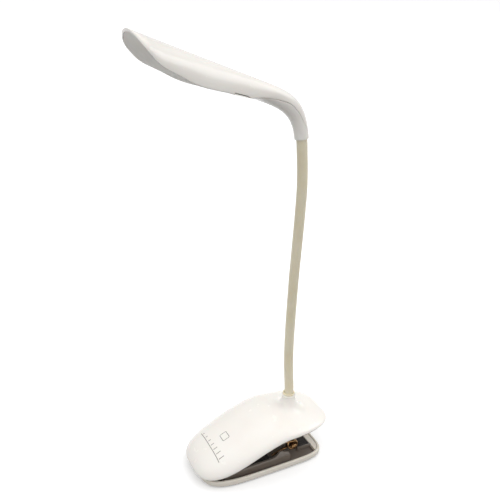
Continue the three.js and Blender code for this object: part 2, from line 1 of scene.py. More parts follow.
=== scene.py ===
# Clip-on reading lamp: sprung two-jaw clip, gooseneck and leaf-shaped LED head
import json
import math
import bpy
import bmesh
from mathutils import Matrix, Vector


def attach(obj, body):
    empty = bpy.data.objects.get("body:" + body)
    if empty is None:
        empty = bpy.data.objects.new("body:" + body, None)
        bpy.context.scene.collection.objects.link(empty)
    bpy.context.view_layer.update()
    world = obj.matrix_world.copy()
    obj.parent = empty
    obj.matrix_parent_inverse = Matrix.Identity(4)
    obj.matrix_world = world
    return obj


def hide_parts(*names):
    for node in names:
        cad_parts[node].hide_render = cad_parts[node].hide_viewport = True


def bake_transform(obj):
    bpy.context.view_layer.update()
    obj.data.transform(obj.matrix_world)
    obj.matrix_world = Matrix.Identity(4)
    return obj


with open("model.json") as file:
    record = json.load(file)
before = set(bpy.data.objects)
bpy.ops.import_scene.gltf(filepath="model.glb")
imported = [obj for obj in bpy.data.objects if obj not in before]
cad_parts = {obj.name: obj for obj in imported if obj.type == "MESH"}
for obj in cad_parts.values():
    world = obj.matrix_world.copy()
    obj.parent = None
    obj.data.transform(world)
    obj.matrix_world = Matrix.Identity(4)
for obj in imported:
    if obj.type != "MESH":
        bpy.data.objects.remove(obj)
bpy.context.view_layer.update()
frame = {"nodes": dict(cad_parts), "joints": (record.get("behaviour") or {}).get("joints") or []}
mm = 0.001


# camera

view = {"place": (0.3430, -0.1842, 0.3343), "azimuth": 63.16, "pitch": 21.31, "roll": 1.48,
        "lens": 41.36}


def addCamera():
    turn, dip = math.radians(view["azimuth"]), math.radians(view["pitch"])
    right = Vector((math.cos(turn), math.sin(turn), 0))
    forward = Vector((-math.sin(turn) * math.cos(dip), math.cos(turn) * math.cos(dip),
                      -math.sin(dip)))
    up = right.cross(forward)
    axes = Matrix((right, up, -forward)).transposed()
    roll = Matrix.Rotation(math.radians(view["roll"]), 3, 'Z')
    data = bpy.data.cameras.new("camera")
    data.lens = view["lens"]
    data.sensor_width = 36
    data.clip_start = 10 * mm
    data.clip_end = 60
    camera = bpy.data.objects.new("camera", data)
    camera.matrix_world = Matrix.Translation(view["place"]) @ (axes @ roll).to_4x4()
    bpy.context.collection.objects.link(camera)
    bpy.context.scene.camera = camera


addCamera()
print("camera done")


# materials

def linear(code):
    parts = [int(code[i:i + 2], 16) / 255 for i in (1, 3, 5)]
    return [c / 12.92 if c <= 0.04045 else ((c + 0.055) / 1.055) ** 2.4 for c in parts] + [1]


def addNode(tree, kind, settings=None, **links):
    # a node with its settings; each link is a value or another node's socket
    node = tree.nodes.new(kind)
    for key, value in (settings or {}).items():
        setattr(node, key, value)
    for name, value in links.items():
        socket = node.inputs[int(name[1:])] if name[0] == "i" and name[1:].isdigit() \
            else node.inputs[name.replace("_", " ")]
        if isinstance(value, bpy.types.NodeSocket):
            tree.links.new(value, socket)
        else:
            socket.default_value = value
    return node


def startMaterial(name, **shader):
    material = bpy.data.materials.new(name)
    material.use_nodes = True
    tree = material.node_tree
    principled = tree.nodes["Principled BSDF"]
    for key, value in shader.items():
        principled.inputs[key.replace("_", " ")].default_value = value
    place = addNode(tree, "ShaderNodeTexCoord").outputs["Object"]
    return material, tree, principled, place


def surfaceNoise(tree, place, sizeMm, detail=2.0, roughness=0.5):
    # Scale counts features a metre, so a size in millimetres gives 1000 / size
    return addNode(tree, "ShaderNodeTexNoise", {"noise_dimensions": '3D'}, Vector=place,
                   Scale=1000 / sizeMm, Detail=detail, Roughness=roughness).outputs["Fac"]


def colourRange(tree, factor, low, high, fromLow=0.3, fromHigh=0.7):
    spread = addNode(tree, "ShaderNodeMapRange", None, Value=factor, From_Min=fromLow,
                     From_Max=fromHigh).outputs["Result"]
    return addNode(tree, "ShaderNodeMix", {"data_type": 'RGBA'}, i0=spread, i6=linear(low),
                   i7=linear(high)).outputs[2]


def numberRange(tree, factor, low, high, fromLow=0.3, fromHigh=0.7):
    return addNode(tree, "ShaderNodeMapRange", None, Value=factor, From_Min=fromLow,
                   From_Max=fromHigh, To_Min=low, To_Max=high).outputs["Result"]


def addBump(tree, principled, height, strength, distanceMm):
    bump = addNode(tree, "ShaderNodeBump", None, Height=height, Strength=strength,
                   Distance=distanceMm * mm)
    tree.links.new(bump.outputs["Normal"], principled.inputs["Normal"])


def paintShadeInBox(tree, place, colour, shadeBox):
    # painted shade: the colour turns darker inside a box about the origin, above a floor height
    spot = addNode(tree, "ShaderNodeSeparateXYZ", None, Vector=place)
    inside = addNode(tree, "ShaderNodeMath", {"operation": 'GREATER_THAN'}, i0=spot.outputs["Z"],
                     i1=shadeBox["floor"] * mm).outputs[0]
    for axis in "XY":
        far = addNode(tree, "ShaderNodeMath", {"operation": 'ABSOLUTE'}, i0=spot.outputs[axis])
        near = addNode(tree, "ShaderNodeMath", {"operation": 'LESS_THAN'}, i0=far.outputs[0],
                       i1=shadeBox[axis] * mm)
        inside = addNode(tree, "ShaderNodeMath", {"operation": 'MULTIPLY'}, i0=inside,
                         i1=near.outputs[0]).outputs[0]
    return addNode(tree, "ShaderNodeMix", {"data_type": 'RGBA'}, i0=inside, i6=colour,
                   i7=linear(shadeBox["colour"])).outputs[2]


def mouldedAbs(name, light, shade, gloss=0.2, shadeBox=None):
    # injection-moulded ABS: an even colour, faint flow marks, a soft deep shine; given a box, painted
    # shade darkens the colour inside it
    material, tree, principled, place = startMaterial(
        name, IOR=1.54, Subsurface_Weight=0.06, Subsurface_Scale=1.2 * mm, Coat_Weight=0.25,
        Coat_Roughness=0.08)
    flow = surfaceNoise(tree, place, 30, 3)
    colour = colourRange(tree, flow, shade, light)
    if shadeBox:
        colour = paintShadeInBox(tree, place, colour, shadeBox)
    tree.links.new(colour, principled.inputs["Base Color"])
    wipe = surfaceNoise(tree, place, 6, 4)
    tree.links.new(numberRange(tree, wipe, gloss, gloss + 0.08), principled.inputs["Roughness"])
    addBump(tree, principled, surfaceNoise(tree, place, 2.5, 2), 0.05, 0.02)
    return material


def siliconeSleeve():
    # extruded silicone-PVC tube: cream, satin, light sinks in a little, faint draw lines
    material, tree, principled, place = startMaterial(
        "extruded silicone sleeve", IOR=1.45, Subsurface_Weight=0.25,
        Subsurface_Scale=2.5 * mm, Sheen_Weight=0.15, Sheen_Roughness=0.5)
    principled.inputs["Subsurface Radius"].default_value = (1.0, 0.75, 0.45)
    cloud = surfaceNoise(tree, place, 12, 3)
    tree.links.new(colourRange(tree, cloud, "#EFE2C4", "#F5EAD0"), principled.inputs["Base Color"])
    # draw lines run along the tube, so the noise is stretched upwards
    drawn = addNode(tree, "ShaderNodeMapping", None, Vector=place, Scale=(1, 1, 0.04))
    lines = surfaceNoise(tree, drawn.outputs["Vector"], 0.8, 3)
    tree.links.new(numberRange(tree, lines, 0.42, 0.55), principled.inputs["Roughness"])
    addBump(tree, principled, lines, 0.12, 0.03)
    return material


def frostedLens():
    # frosted polycarbonate: milky, a fine satin grain of about 0.3 mm
    material, tree, principled, place = startMaterial(
        "frosted polycarbonate", IOR=1.58, Subsurface_Weight=0.3, Subsurface_Scale=2 * mm)
    cloud = surfaceNoise(tree, place, 15, 2)
    tree.links.new(colourRange(tree, cloud, "#D8D3CA", "#E2DED6"), principled.inputs["Base Color"])
    grain = surfaceNoise(tree, place, 0.5, 2)
    tree.links.new(numberRange(tree, grain, 0.42, 0.6), principled.inputs["Roughness"])
    addBump(tree, principled, grain, 0.15, 0.05)
    return material


def darkRubberAndPaintedShade():
    # compression-moulded rubber: nearly black, matt, pebbled at about 0.6 mm; on the tray mats the
    # same black is painted shade
    material, tree, principled, place = startMaterial("moulded rubber and painted shade", IOR=1.5)
    cloud = surfaceNoise(tree, place, 4, 4)
    tree.links.new(colourRange(tree, cloud, "#2B2826", "#3A3633"), principled.inputs["Base Color"])
    pebble = surfaceNoise(tree, place, 0.6, 2)
    tree.links.new(numberRange(tree, pebble, 0.68, 0.85), principled.inputs["Roughness"])
    addBump(tree, principled, pebble, 0.3, 0.08)
    return material


def springWire():
    # oil-tempered spring wire: bronze-brown oxide over bright steel, polished by drawing
    material, tree, principled, place = startMaterial("oil-tempered spring wire", Metallic=1.0)
    patches = surfaceNoise(tree, place, 3, 4)
    tree.links.new(colourRange(tree, patches, "#6B4F33", "#A88660"), principled.inputs["Base Color"])
    marks = surfaceNoise(tree, place, 0.7, 3)
    tree.links.new(numberRange(tree, marks, 0.16, 0.3), principled.inputs["Roughness"])
    addBump(tree, principled, marks, 0.1, 0.03)
    return material


def platedSteel(name, low, high, rough=0.28):
    # electroplated steel: a cool even sheen with fine rolling marks
    material, tree, principled, place = startMaterial(name, Metallic=1.0)
    patches = surfaceNoise(tree, place, 5, 4)
    tree.links.new(colourRange(tree, patches, low, high), principled.inputs["Base Color"])
    marks = surfaceNoise(tree, place, 0.9, 3)
    tree.links.new(numberRange(tree, marks, rough, rough + 0.12), principled.inputs["Roughness"])
    addBump(tree, principled, marks, 0.1, 0.02)
    return material


def boardMask():
    # solder mask over glass cloth: green, the weave of 0.5 mm just showing
    material, tree, principled, place = startMaterial("solder-masked board", IOR=1.5)
    weave = addNode(tree, "ShaderNodeTexVoronoi", {"distance": 'CHEBYCHEV'}, Vector=place,
                    Scale=1000 / 0.5).outputs["Distance"]
    tree.links.new(colourRange(tree, weave, "#1E5B36", "#2C7549", 0.1, 0.6),
                   principled.inputs["Base Color"])
    addBump(tree, principled, weave, 0.1, 0.03)
    principled.inputs["Roughness"].default_value = 0.4
    return material


def ledResin():
    # phosphor-filled silicone: yellow and slightly grainy
    material, tree, principled, place = startMaterial("phosphor silicone", IOR=1.45)
    grain = surfaceNoise(tree, place, 0.4, 2)
    tree.links.new(colourRange(tree, grain, "#E8D27A", "#F6EBB4"), principled.inputs["Base Color"])
    principled.inputs["Roughness"].default_value = 0.35
    return material


def padInk():
    # pad-printed ink: a flat warm grey film, a little uneven at its edges
    material, tree, principled, place = startMaterial("pad-printed ink", IOR=1.5)
    film = surfaceNoise(tree, place, 0.8, 3)
    tree.links.new(colourRange(tree, film, "#77706B", "#8C8580"), principled.inputs["Base Color"])
    tree.links.new(numberRange(tree, film, 0.35, 0.5), principled.inputs["Roughness"])
    return material


# painted shade: the tray's inside is painted darker for the shade between the jaws, out to halfway
# between its walls and rim and back to the tail deck
jawPaintedShade = {"X": 24.3, "Y": 43.2, "floor": 2.4, "colour": "#736960"}

shellWhite = mouldedAbs("injection-moulded gloss ABS", "#F9F5EF", "#F5F0E9")
jawWhiteWithPaintedShade = mouldedAbs("injection-moulded satin ABS with painted shade in the tray", "#EFE8DC", "#E7E0D3", 0.32, jawPaintedShade)
# painted shade: the lid under the shell gets a darker grey that stands in for the shade it sits in
lidGreyPaintedShade = mouldedAbs("injection-moulded matt ABS in a painted-shade grey", "#958C80", "#8B8277", 0.45)
sleeveCream = siliconeSleeve()
lensFrost = frostedLens()
rubberDarkAndPaintedShade = darkRubberAndPaintedShade()
wireBronze = springWire()
steelBright = platedSteel("zinc-plated steel", "#A6A8AA", "#C6C8CA")
brassTurned = platedSteel("turned brass", "#A67C3E", "#C79B58", 0.25)
foilGrey = platedSteel("laminated pouch foil", "#9DA1A6", "#B9BDC2", 0.38)
boardGreen = boardMask()
ledYellow = ledResin()
inkGrey = padInk()
print("materials done")


# shared shaping

def smoothStep(value):
    t = min(1, max(0, value))
    return t * t * (3 - 2 * t)


def squared(value, power):
    # a signed power, which squares off a circle
    return math.copysign(abs(value) ** (2 / power), value)


def splineAt(points, t):
    # the point at t, 0 to 1, on a smooth line through the points
    spot = min(max(t, 0), 1) * (len(points) - 1)
    i = min(int(spot), len(points) - 2)
    w = spot - i
    p = [Vector(points[min(max(j, 0), len(points) - 1)]) for j in (i - 1, i, i + 1, i + 2)]
    a = (p[2] - p[0]) / 2
    b = (p[3] - p[1]) / 2
    return (p[1] * (2 * w ** 3 - 3 * w * w + 1) + a * (w ** 3 - 2 * w * w + w)
            + p[2] * (3 * w * w - 2 * w ** 3) + b * (w ** 3 - w * w))


def shapedGrid(columns, rows, pointAt):
    # a grid whose every point is moved to pointAt(u, v), u and v from 0 to 1
    bm = bmesh.new()
    bmesh.ops.create_grid(bm, x_segments=columns, y_segments=rows, size=1)
    for vert in bm.verts:
        vert.co = Vector(pointAt((vert.co.x + 1) / 2, (vert.co.y + 1) / 2)) * mm
    bmesh.ops.remove_doubles(bm, verts=bm.verts, dist=0.004 * mm)
    bmesh.ops.recalc_face_normals(bm, faces=bm.faces)
    return bm


def makePiece(name, bm, material, sharpAngle=40):
    mesh = bpy.data.meshes.new(name)
    bm.to_mesh(mesh)
    bm.free()
    mesh.shade_smooth()
    mesh.set_sharp_from_angle(angle=math.radians(sharpAngle))
    mesh.materials.append(material)
    piece = bpy.data.objects.new(name, mesh)
    bpy.context.collection.objects.link(piece)
    return piece


def giveWall(piece, thicknessMm, edgeMm=0.0):
    wall = piece.modifiers.new("wall", 'SOLIDIFY')
    wall.thickness = thicknessMm * mm
    wall.offset = -1
    wall.use_even_offset = True
    wall.use_quality_normals = True
    if edgeMm:
        edge = piece.modifiers.new("edge", 'BEVEL')
        edge.width = edgeMm * mm
        edge.segments = 3
        edge.limit_method = 'ANGLE'
        edge.angle_limit = math.radians(50)
        edge.harden_normals = False


def fasten(piece, body, slot, *nodes):
    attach(piece, body)
    if nodes:
        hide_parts(*nodes)


def plate(bm, outline, fromX, toX, edgeMm=0.35):
    # an upright plate: its outline in Y and Z, from one X to another
    verts = [bm.verts.new((fromX * mm, y * mm, z * mm)) for y, z in outline]
    face = bm.faces.new(verts)
    grown = bmesh.ops.extrude_face_region(bm, geom=[face])
    moved = [g for g in grown["geom"] if isinstance(g, bmesh.types.BMVert)]
    bmesh.ops.translate(bm, verts=moved, vec=((toX - fromX) * mm, 0, 0))
    body = set(verts) | set(moved)
    faces = [f for f in bm.faces if all(v in body for v in f.verts)]
    bmesh.ops.recalc_face_normals(bm, faces=faces)
    edges = list({e for f in faces for e in f.edges})
    bmesh.ops.bevel(bm, geom=edges, offset=edgeMm * mm, offset_type='OFFSET', affect='EDGES',
                    segments=2, profile=0.5, material=-1, clamp_overlap=True)


def block(bm, size, at, edgeMm=0.3):
    made = bmesh.ops.create_cube(bm, size=1)["verts"]
    bmesh.ops.scale(bm, verts=made, vec=[s * mm for s in size])
    bmesh.ops.translate(bm, verts=made, vec=[a * mm for a in at])
    edges = list({e for v in made for e in v.link_edges})
    bmesh.ops.bevel(bm, geom=edges, offset=edgeMm * mm, offset_type='OFFSET', affect='EDGES',
                    segments=2, profile=0.5, material=-1, clamp_overlap=True)


# the clip's ovals and the dome

lowerOval = {"half": 28.9, "long": 54.4, "power": 4.0, "tail": 50.4, "tailPower": 6.0}
upperOval = {"half": 31.1, "long": 58.3, "power": 3.4}
dome = {"rimFront": 7.65, "rimRear": 31.0, "rimRun": 0.62, "crownFront": 14.9, "crownRear": 4.9,
        "power": 2.36, "wall": 1.8, "axisY": 28.8, "neck": 5.5, "flare": 16.0, "columns": 160,
        "rows": 96}


def ovalPoint(oval, turn, inset=0.0, share=1.0):
    angle = 2 * math.pi * turn
    power, reach = oval["power"], oval["long"]
    if "tail" in oval and math.sin(angle) > 0:
        power, reach = oval["tailPower"], oval["tail"]
    x = (oval["half"] - inset) * squared(math.cos(angle), power) * share
    y = (reach - inset) * squared(math.sin(angle), power) * share
    return x, y


def ovalShare(oval, x, y, inset=0.0):
    across = abs(x) / (oval["half"] - inset)
    along = abs(y) / (oval["long"] - inset)
    return (across ** oval["power"] + along ** oval["power"]) ** (1 / oval["power"])


def rimZ(y):
    # the rim climbs from the tip and levels out towards the tail
    t = (y + upperOval["long"]) / (2 * upperOval["long"])
    k = min(1, max(0, t / dome["rimRun"]))
    return dome["rimFront"] + (dome["rimRear"] - dome["rimFront"]) * (0.35 * k + 0.65 * smoothStep(k))


def domeZ(x, y):
    share = min(1, ovalShare(upperOval, x, y))
    t = (y + upperOval["long"]) / (2 * upperOval["long"])
    height = dome["crownFront"] + (dome["crownRear"] - dome["crownFront"]) * t
    return rimZ(y) + height * math.sqrt(max(0, 1 - share ** dome["power"]))


# boss outline, radius and height, from its bore outwards
bossLine = [(4.0, 49.9), (4.15, 50.3), (4.6, 50.4), (5.1, 50.3), (5.4, 49.9), (5.42, 49.0),
            (5.45, 48.0), (5.62, 46.8), (6.0, 45.3), (6.7, 43.6), (7.8, 41.8), (9.4, 40.2),
            (11.6, 38.95), (14.0, 38.3), (16.0, 38.1)]
bossShare = 0.4  # of the rows between the bore and the rim


def rayToRim(angle):
    # how far the rim is from the boss's axis, by halving
    near, far = 10.0, 100.0
    for _ in range(40):
        middle = (near + far) / 2
        x, y = middle * math.cos(angle), dome["axisY"] + middle * math.sin(angle)
        if ovalShare(upperOval, x, y) < 1:
            near = middle
        else:
            far = middle
    return near


def buildUpperShell():
    columns = dome["columns"]
    reach = {}

    def pointAt(u, v):
        angle = 2 * math.pi * u
        key = round(u * columns)
        if key not in reach:
            reach[key] = rayToRim(angle)
        if v < bossShare:
            spot = splineAt([(r, z, 0) for r, z in bossLine], v / bossShare)
            radius, height = spot.x, spot.y
        else:
            w = (v - bossShare) / (1 - bossShare)
            radius = dome["flare"] + (reach[key] - dome["flare"]) * math.sin(math.pi / 2 * w)
            height = None
        x, y = radius * math.cos(angle), dome["axisY"] + radius * math.sin(angle)
        surface = domeZ(x, y)
        if height is None:
            return x, y, surface
        # the boss settles onto the dome over its flare
        middleZ = bossLine[-1][1]
        settle = smoothStep((radius - dome["neck"]) / (dome["flare"] - dome["neck"]))
        return x, y, height + (surface - middleZ) * settle

    bm = shapedGrid(columns, dome["rows"], pointAt)
    shell = makePiece("upper_shell_skin", bm, shellWhite, 60)
    giveWall(shell, dome["wall"], 0.35)
    fasten(shell, "upper_clip", "white_abs", "upper_shell")


buildUpperShell()
print("upper shell done")


# printed marks: a rounded square to touch, and a brightness scale of rising bars on a line
mark = {"x": 1.0, "y": -29.7, "halfX": 3.6, "halfY": 2.7, "corner": 0.8, "line": 0.42}
scaleMark = {"from": -18.0, "to": 18.8, "y": -42.2, "line": 0.45, "bars": 7, "low": 1.0,
             "high": 4.2, "bar": 0.55, "gap": 0.9, "margin": 0.06}
film = {"lift": 0.04, "depth": 0.25}


def roundedRectangle(turn, halfX, halfY, corner):
    # a point and its outward direction: four sides and four corner arcs at an even pace
    sides = [2 * (halfX - corner), 2 * (halfY - corner)] * 2
    arc = math.pi / 2 * corner
    spot = (turn % 1) * (sum(sides) + 4 * arc)
    start = Vector((-halfX + corner, -halfY))
    heading = 0.0
    for side in sides:
        along = Vector((math.cos(heading), math.sin(heading)))
        left = Vector((-along.y, along.x))
        if spot <= side:
            return start + along * spot, -left
        spot -= side
        centre = start + along * side + left * corner
        if spot <= arc:
            swing = spot / corner
            out = -left * math.cos(swing) + along * math.sin(swing)
            return centre + out * corner, out
        spot -= arc
        start = centre + along * corner
        heading += math.pi / 2
    return Vector((-halfX + corner, -halfY)), Vector((0, -1))


def printBand(bm, steps, width, lineAt):
    # a closed band of ink along a line over the dome, joined into bm
    corners = [(1, 1), (-1, 1), (-1, -1), (1, -1), (1, 1)]

    def pointAt(u, v):
        side, top = corners[int(v * 4 + 0.5)]
        spot, out = lineAt(u)
        spot = spot + out * side * width / 2
        rise = film["lift"] if top > 0 else -film["depth"]
        return spot.x, spot.y, domeZ(spot.x, spot.y) + rise

    part = shapedGrid(steps, 4, pointAt)
    bmesh.ops.holes_fill(part, edges=[e for e in part.edges if e.is_boundary], sides=0)
    bmesh.ops.recalc_face_normals(part, faces=part.faces)
    mesh = bpy.data.meshes.new("band")
    part.to_mesh(mesh)
    part.free()
    bm.from_mesh(mesh)
    bpy.data.meshes.remove(mesh)


def buildMarks():
    bm = bmesh.new()

    def squareAt(u):
        spot, out = roundedRectangle(u, mark["halfX"], mark["halfY"], mark["corner"])
        return spot + Vector((mark["x"], mark["y"])), out

    printBand(bm, 96, mark["line"], squareAt)
    across = scaleMark["to"] - scaleMark["from"]

    def baseAt(u):
        return Vector((scaleMark["from"] + across * u, scaleMark["y"])), Vector((0, 1))

    printBand(bm, 60, scaleMark["line"], baseAt)
    for k in range(scaleMark["bars"]):
        share = k / (scaleMark["bars"] - 1)
        margin = scaleMark["margin"]
        x = scaleMark["from"] + across * (margin + (1 - 2 * margin) * share)
        tall = scaleMark["low"] + (scaleMark["high"] - scaleMark["low"]) * share
        foot = scaleMark["y"] + scaleMark["gap"]

        def barAt(u):
            return Vector((x, foot + tall * u)), Vector((1, 0))

        printBand(bm, 8, scaleMark["bar"], barAt)
    ink = makePiece("printed_marks", bm, inkGrey, 30)
    fasten(ink, "upper_clip", "dark_rubber")


buildMarks()
print("print done")


# lower jaw

tray = {"bottom": 1.1, "floor": 3.0, "rim": 6.2, "tail": 43.3, "sunk": 0.5, "deckDrop": 0.8,
        "wallIn": 21.6, "wallOut": 23.4, "earIn": 11, "earOut": 13, "earReach": 8,
        "earRadius": 4.2, "ribX": 16.0, "ribY": 37, "ribSize": (1.6, 13.4, 3.4), "columns": 192}
pivotJoint = next(j for j in frame["joints"] if j["name"] == "jaw_squeeze")
pivot = Vector(pivotJoint["pos_m"]) / mm

wallOutline = [(-39, 2.5), (19.5, 2.5), (19.5, 8.6), (17.4, 12.4), (13.6, 13.3), (11.6, 14.7),
               (9.4, 14.7), (8.1, 12.8), (5.5, 10.2), (-8, 10), (-20, 9.8), (-30, 9.2),
               (-39, 7.5)]

# the tray's turned line, from the middle of its underside over the rim to the middle of its floor:
# share of the way out, inset, height over the tray's bottom (low) or over its rim (high)
trayLine = ([(0.0, 1.6, "low", 0.0), (0.5, 1.6, "low", 0.0), (0.97, 1.6, "low", 0.0)]
            + [(1, 1.4 - 1.3 * math.sin(a), "low", 1.3 - 1.3 * math.cos(a))
               for a in [math.pi / 2 * k / 6 for k in range(7)]]
            + [(1, 0.02, "low", 2.2), (1, 0.0, "high", -2.0)]
            + [(1, 0.95 - 0.95 * math.cos(a), "high", -0.95 + 0.95 * math.sin(a))
               for a in [math.pi / 2 * k / 6 for k in range(7)]]
            + [(1, 1.45 + 0.5 * math.sin(a), "high", -0.5 + 0.5 * math.cos(a))
               for a in [math.pi / 2 * k / 4 for k in range(5)]]
            + [(1, 2.05, "high", -1.6), (1, 2.3, "low", 3.4)]
            + [(1, 3.1 - 0.7 * math.cos(a), "low", 2.6 - 0.7 * math.sin(a))
               for a in [math.pi / 2 * k / 4 for k in range(5)]]
            + [(0.9, 3.1, "low", 1.9), (0.5, 3.1, "low", 1.9), (0.0, 3.1, "low", 1.9)])


def earOutline(fromY, toY, baseZ, over):
    # over is 1 where the ear stands up to the pivot and -1 where it hangs down to it
    radius = tray["earRadius"]
    arc = [(pivot.y - radius * math.cos(a), pivot.z + over * radius * math.sin(a))
           for a in [math.pi * k / 20 for k in range(21)]]
    return [(fromY, baseZ)] + arc + [(toY, baseZ)]


def addTailDeck(bm):
    # the tail is filled up to just under the rim, with an upright face towards the pivot
    points = [ovalPoint(lowerOval, k / 240, 1.9) for k in range(240)]
    reach = max(x for x, y in points if y >= tray["tail"])
    points = [(reach, tray["tail"])] + [q for q in points if q[1] > tray["tail"]]
    points.append((-reach, tray["tail"]))
    verts = [bm.verts.new((x * mm, y * mm, (tray["floor"] - tray["sunk"]) * mm)) for x, y in points]
    face = bm.faces.new(verts)
    grown = bmesh.ops.extrude_face_region(bm, geom=[face])["geom"]
    tops = [g for g in grown if isinstance(g, bmesh.types.BMVert)]
    for vert in tops:
        vert.co.z = (tray["rim"] - tray["deckDrop"]) * mm
    body = set(verts) | set(tops)
    faces = [f for f in bm.faces if all(v in body for v in f.verts)]
    bmesh.ops.recalc_face_normals(bm, faces=faces)


def buildLowerJaw():
    rows = len(trayLine) - 1

    def pointAt(u, v):
        share, inset, side, height = trayLine[round(v * rows)]
        x, y = ovalPoint(lowerOval, u, inset, share)
        z = (tray["bottom"] if side == "low" else tray["rim"]) + height
        return x, y, z

    bm = shapedGrid(tray["columns"], rows, pointAt)
    ear = earOutline(pivot.y - tray["earReach"], pivot.y + tray["earReach"],
                     tray["floor"] - tray["sunk"], 1)
    for side in (-1, 1):
        plate(bm, wallOutline, side * tray["wallIn"], side * tray["wallOut"])
        plate(bm, ear, side * tray["earIn"], side * tray["earOut"])
        block(bm, tray["ribSize"], (side * tray["ribX"], tray["ribY"], tray["floor"] + 1.5))
    addTailDeck(bm)
    # the tray's material paints the shade between the jaws onto its inside
    jaw = makePiece("lower_jaw_tray", bm, jawWhiteWithPaintedShade, 40)
    fasten(jaw, "lower_clip", "white_abs", "lower_jaw")


buildLowerJaw()
print("lower jaw done")


# springs: one wire each, a leg on the tray, the coil round the pin and a leg under the lid

spring = {"radius": 4.1, "wire": 0.8, "turns": 3, "fromX": 14.4, "pitch": 1.75, "blend": 3.5}


def springPath(side):
    start = -0.5 * math.pi
    sweep = 2 * math.pi * spring["turns"] - math.pi
    points = [(spring["fromX"] - 0.1, pivot.y - 17, 4.9), (spring["fromX"] - 0.1, pivot.y - 8, 7.9)]
    steps = 112
    for k in range(steps + 1):
        angle = start + sweep * k / steps
        points.append((spring["fromX"] + spring["pitch"] * (angle - start) / (2 * math.pi),
                       pivot.y + spring["radius"] * math.cos(angle),
                       pivot.z + spring["radius"] * math.sin(angle)))
    lastX, lastZ = points[-1][0], points[-1][2]
    points += [(lastX, pivot.y - 8, lastZ + 1.4), (lastX, pivot.y - 15, lastZ + 3.2)]
    return [Vector((side * x, y, z)) for x, y, z in points]


def sweepWire(bm, path, radius, sides=14):
    # a round section carried along the path, each ring bridged to the last, ends filled
    rings = []
    across = None
    for i, spot in enumerate(path):
        before, after = path[max(i - 1, 0)], path[min(i + 1, len(path) - 1)]
        along = (after - before).normalized()
        if across is None:
            across = along.orthogonal().normalized()
        across = (across - along * across.dot(along)).normalized()
        third = along.cross(across)
        ring = bmesh.ops.create_circle(bm, cap_ends=False, segments=sides, radius=radius * mm)["verts"]
        turn = Matrix((across, third, along)).transposed()
        bmesh.ops.transform(bm, matrix=Matrix.Translation(spot * mm) @ turn.to_4x4(), verts=ring)
        rings.append(ring)
    for a, b in zip(rings, rings[1:]):
        edges = [e for e in {e for v in a + b for e in v.link_edges}
                 if (e.verts[0] in a) == (e.verts[1] in a) and len(e.link_faces) < 2]
        loopA = [e for e in edges if e.verts[0] in a and e.verts[1] in a]
        loopB = [e for e in edges if e.verts[0] in b and e.verts[1] in b]
        bmesh.ops.bridge_loops(bm, edges=loopA + loopB)
    bmesh.ops.holes_fill(bm, edges=[e for e in bm.edges if len(e.link_faces) == 1], sides=0)
    bmesh.ops.recalc_face_normals(bm, faces=bm.faces)


def buildSprings():
    for name, side in (("near", 1), ("far", -1)):
        bm = bmesh.new()
        sweepWire(bm, springPath(side), spring["wire"])
        coil = makePiece(f"torsion_spring_wire_{name}", bm, wireBronze, 50)
        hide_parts(f"torsion_spring_{name}")
        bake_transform(coil)


buildSprings()


pin = {"radius": 1.5, "half": 21.2, "clipRadius": 2.4, "clipFrom": 20.3, "clipTo": 21.1}


def roundBar(bm, radius, fromX, toX, edgeMm, bore=0.0):
    # a bar or ring along X about the pivot, turned from its half section
    half = [(fromX, bore), (fromX, radius - edgeMm), (fromX + edgeMm, radius),
            (toX - edgeMm, radius), (toX, radius - edgeMm), (toX, bore)]
    verts = [bm.verts.new((x * mm, pivot.y * mm, (pivot.z + r) * mm)) for x, r in half]
    edges = [bm.edges.new(pair) for pair in zip(verts, verts[1:])]
    if bore:
        edges.append(bm.edges.new((verts[-1], verts[0])))
    bmesh.ops.spin(bm, geom=verts + edges, cent=(0, pivot.y * mm, pivot.z * mm), axis=(1, 0, 0),
                   angle=2 * math.pi, steps=40, use_merge=True)
    bmesh.ops.remove_doubles(bm, verts=bm.verts, dist=0.002 * mm)
    bmesh.ops.recalc_face_normals(bm, faces=bm.faces)


def buildPin():
    bm = bmesh.new()
    roundBar(bm, pin["radius"], -pin["half"], pin["half"], 0.4)
    fasten(makePiece("pivot_pin_bar", bm, wireBronze, 50), "lower_clip", "spring_steel", "pivot_pin")
    for name, side in (("near", 1), ("far", -1)):
        bm = bmesh.new()
        ends = sorted((side * pin["clipFrom"], side * pin["clipTo"]))
        roundBar(bm, pin["clipRadius"], *ends, 0.2, bore=pin["radius"] + 0.1)
        washer = makePiece(f"pin_washer_{name}", bm, wireBronze, 50)
        fasten(washer, "lower_clip", "spring_steel", f"pin_clip_{name}")


buildPin()
print("pivot and springs done")


# soles and pads, and dark mats of painted shade on the tray floor

def ovalSlab(name, oval, inset, low, high, edge, material, body, slot, node):
    line = ([(0, 0, low), (1, edge, low)]
            + [(1, edge - edge * math.sin(a), low + edge - edge * math.cos(a))
               for a in [math.pi / 2 * k / 3 for k in range(1, 4)]]
            + [(1, edge - edge * math.cos(a), high - edge + edge * math.sin(a))
               for a in [math.pi / 2 * k / 3 for k in range(4)]]
            + [(0, 0, high)])
    rows = len(line) - 1

    def pointAt(u, v):
        share, more, z = line[round(v * rows)]
        x, y = ovalPoint(oval, u, inset + more, share)
        return x, y, z

    piece = makePiece(name, shapedGrid(160, rows, pointAt), material, 50)
    fasten(piece, body, slot, node)


ovalSlab("rubber_sole", lowerOval, 1.7, 0.0, 0.8, 0.25, rubberDarkAndPaintedShade, "lower_clip", "dark_rubber",
         "base_sole")


# painted shade: dark ribbed mats on the tray floor stand in for the deep shade between the jaws
shadeMats = {"thick": 1.0, "rib": 0.9, "ribTall": 0.35, "pitch": 2.6}


